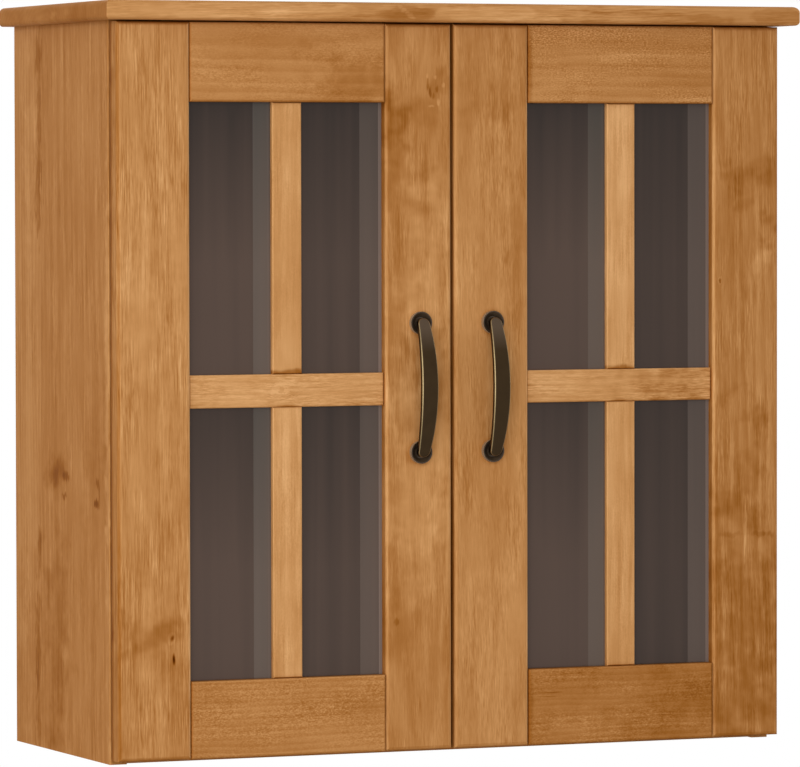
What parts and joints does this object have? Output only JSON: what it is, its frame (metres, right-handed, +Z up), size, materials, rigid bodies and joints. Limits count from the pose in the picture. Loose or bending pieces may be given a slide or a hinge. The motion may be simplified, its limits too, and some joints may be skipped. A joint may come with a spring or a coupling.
{
  "type": "wall cabinet",
  "caption": "Pine wall cabinet with overhanging top, glazed and barred doors on concealed hinges, bow handles, an adjustable shelf and a hanging rail for wall screws.",
  "frame": {"origin": "on the wall plane, midway between the wall-screw holes of the hanging rail", "axes": "+X to the right as seen from the front, +Y into the wall, +Z up"},
  "size_m": [0.748, 0.3255, 0.7447],
  "materials": {
    "pine": "waxed honey pine, satin",
    "back_plywood": "sanded plywood",
    "beech_dowel": "fluted beech",
    "smoked_glass": "smoked, polished",
    "antique_brass": "darkened brass, worn edges",
    "nickel_plated_steel": "nickel plate",
    "zinc_plated_steel": "zinc plate",
    "catch_plastic": "moulded brown",
    "ferrite": "sintered grey",
    "bumper_rubber": "clear grey"
  },
  "bodies": {
    "cabinet": {"back_panel": "back_plywood", "back_panel_screws": "zinc_plated_steel", "bottom_board": "pine", "cam_bolts": "zinc_plated_steel", "cam_locks": "zinc_plated_steel", "carcass_dowels": "beech_dowel", "catch_magnets": "ferrite", "catch_screws": "zinc_plated_steel", "door_bumpers": "bumper_rubber", "hanging_rail": "pine", "left_hinge_arms": "nickel_plated_steel", "left_hinge_plates": "nickel_plated_steel", "left_plate_screws": "zinc_plated_steel", "left_side_panel": "pine", "magnetic_catch": "catch_plastic", "right_hinge_arms": "nickel_plated_steel", "right_hinge_plates": "nickel_plated_steel", "right_plate_screws": "zinc_plated_steel", "right_side_panel": "pine", "shelf": "pine", "shelf_supports": "nickel_plated_steel", "top_board": "pine"},
    "left_door": {"left_bottom_rail": "pine", "left_cross_bar": "pine", "left_cup_screws": "zinc_plated_steel", "left_glass": "smoked_glass", "left_glazing_beads": "pine", "left_handle": "antique_brass", "left_handle_screws": "zinc_plated_steel", "left_handle_stile": "pine", "left_hinge_cups": "nickel_plated_steel", "left_hinge_pins": "nickel_plated_steel", "left_hinge_stile": "pine", "left_lower_bar": "pine", "left_rosettes": "antique_brass", "left_strike_plate": "nickel_plated_steel", "left_strike_screw": "zinc_plated_steel", "left_top_rail": "pine", "left_upper_bar": "pine"},
    "right_door": {"right_bottom_rail": "pine", "right_cross_bar": "pine", "right_cup_screws": "zinc_plated_steel", "right_glass": "smoked_glass", "right_glazing_beads": "pine", "right_handle": "antique_brass", "right_handle_screws": "zinc_plated_steel", "right_handle_stile": "pine", "right_hinge_cups": "nickel_plated_steel", "right_hinge_pins": "nickel_plated_steel", "right_hinge_stile": "pine", "right_lower_bar": "pine", "right_rosettes": "antique_brass", "right_strike_plate": "nickel_plated_steel", "right_strike_screw": "zinc_plated_steel", "right_top_rail": "pine", "right_upper_bar": "pine"}
  },
  "joints": [
    {"name": "left_door_hinge", "type": "hinge", "parent": "cabinet", "child": "left_door", "pos_m": [-0.35, -0.285, -0.3162], "axis": [0, 0, -1], "range_deg": [0, 95]},
    {"name": "right_door_hinge", "type": "hinge", "parent": "cabinet", "child": "right_door", "pos_m": [0.35, -0.285, -0.3162], "axis": [0, 0, 1], "range_deg": [0, 95]}
  ]
}
